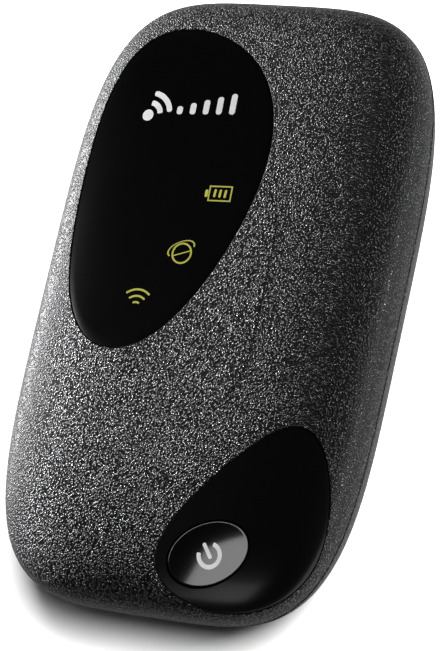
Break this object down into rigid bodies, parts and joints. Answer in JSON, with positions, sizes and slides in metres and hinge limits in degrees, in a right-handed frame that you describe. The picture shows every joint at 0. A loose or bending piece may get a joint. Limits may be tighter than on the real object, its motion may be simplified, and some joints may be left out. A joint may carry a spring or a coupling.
{
  "type": "mobile hotspot",
  "caption": "Pocket mobile hotspot: pebble-shaped two-part case, egg-shaped gloss display window with lit icons, lower gloss insert with oval power button, removable rear cover and battery.",
  "frame": {"origin": "on the flat of the back, under the centre of the outline, so the part lies on its back on z = 0", "axes": "+X to the right of the front face, +Y towards its top end, +Z out of the front face"},
  "size_m": [0.0566, 0.094, 0.0198],
  "materials": {
    "case": "charcoal moulded plastic with a fine leather-like grain",
    "gloss_insert": "polished black plastic",
    "button": "polished black plastic with a printed grey power symbol",
    "dark_plastic": "plain black moulded plastic",
    "frame_plastic": "dark grey moulded plastic",
    "board": "green solder mask",
    "steel": "thin tinned steel sheet",
    "gold": "gold-plated spring metal",
    "clear": "milky clear plastic",
    "cell_wrap": "silver-grey film wrap",
    "card": "white card plastic",
    "paper": "plain printed paper label",
    "lamp": "small yellow-green lamp"
  },
  "bodies": {
    "rear_cover": {"rear_cover": "case"},
    "device": {"front_shell": "case", "display_window": "gloss_insert", "button_panel": "gloss_insert", "power_switch": "steel", "mid_frame": "frame_plastic", "main_board": "board", "rf_shield": "steel", "cpu_shield": "steel", "light_holder": "dark_plastic", "light_pipe_battery": "clear", "light_pipe_internet": "clear", "light_pipe_wifi": "clear", "led_battery": "lamp", "led_internet": "lamp", "led_wifi": "lamp", "usb_socket": "steel", "usb_tongue": "dark_plastic", "sim_socket": "steel", "reset_switch": "steel", "battery_connector": "dark_plastic", "battery_spring_1": "gold", "battery_spring_2": "gold", "battery_spring_3": "gold", "bay_label": "paper", "frame_screw_1": "steel", "frame_screw_2": "steel", "frame_screw_3": "steel", "frame_screw_4": "steel", "antenna_top": "gold", "antenna_bottom": "gold", "antenna_side": "gold"},
    "battery": {"battery_cell": "cell_wrap", "battery_cap": "dark_plastic", "battery_pad_1": "gold", "battery_pad_2": "gold", "battery_pad_3": "gold"},
    "power_button": {"power_button": "button", "power_plunger": "dark_plastic"},
    "reset_button": {"reset_plunger": "dark_plastic"},
    "sim_card": {"sim_card": "card"}
  },
  "joints": [
    {"name": "device_lift", "type": "slide", "parent": "rear_cover", "child": "device", "axis": [0, 0, 1], "range_m": [0, 0.03]},
    {"name": "battery_lift", "type": "slide", "parent": "rear_cover", "child": "battery", "axis": [0, 0, 1], "range_m": [0, 0.015]},
    {"name": "power_button_press", "type": "slide", "parent": "device", "child": "power_button", "axis": [0, 0, -1], "range_m": [0, 0.0003], "stiffness_N_per_m": 2000},
    {"name": "reset_button_press", "type": "slide", "parent": "device", "child": "reset_button", "axis": [0, 0, 1], "range_m": [0, 0.0003], "stiffness_N_per_m": 2000},
    {"name": "sim_card_slide", "type": "slide", "parent": "device", "child": "sim_card", "axis": [1, 0, 0], "range_m": [0, 0.012]}
  ],
  "couplings": [
    {"joint": "battery_lift", "follows": "device_lift", "ratio": 0.5}
  ]
}
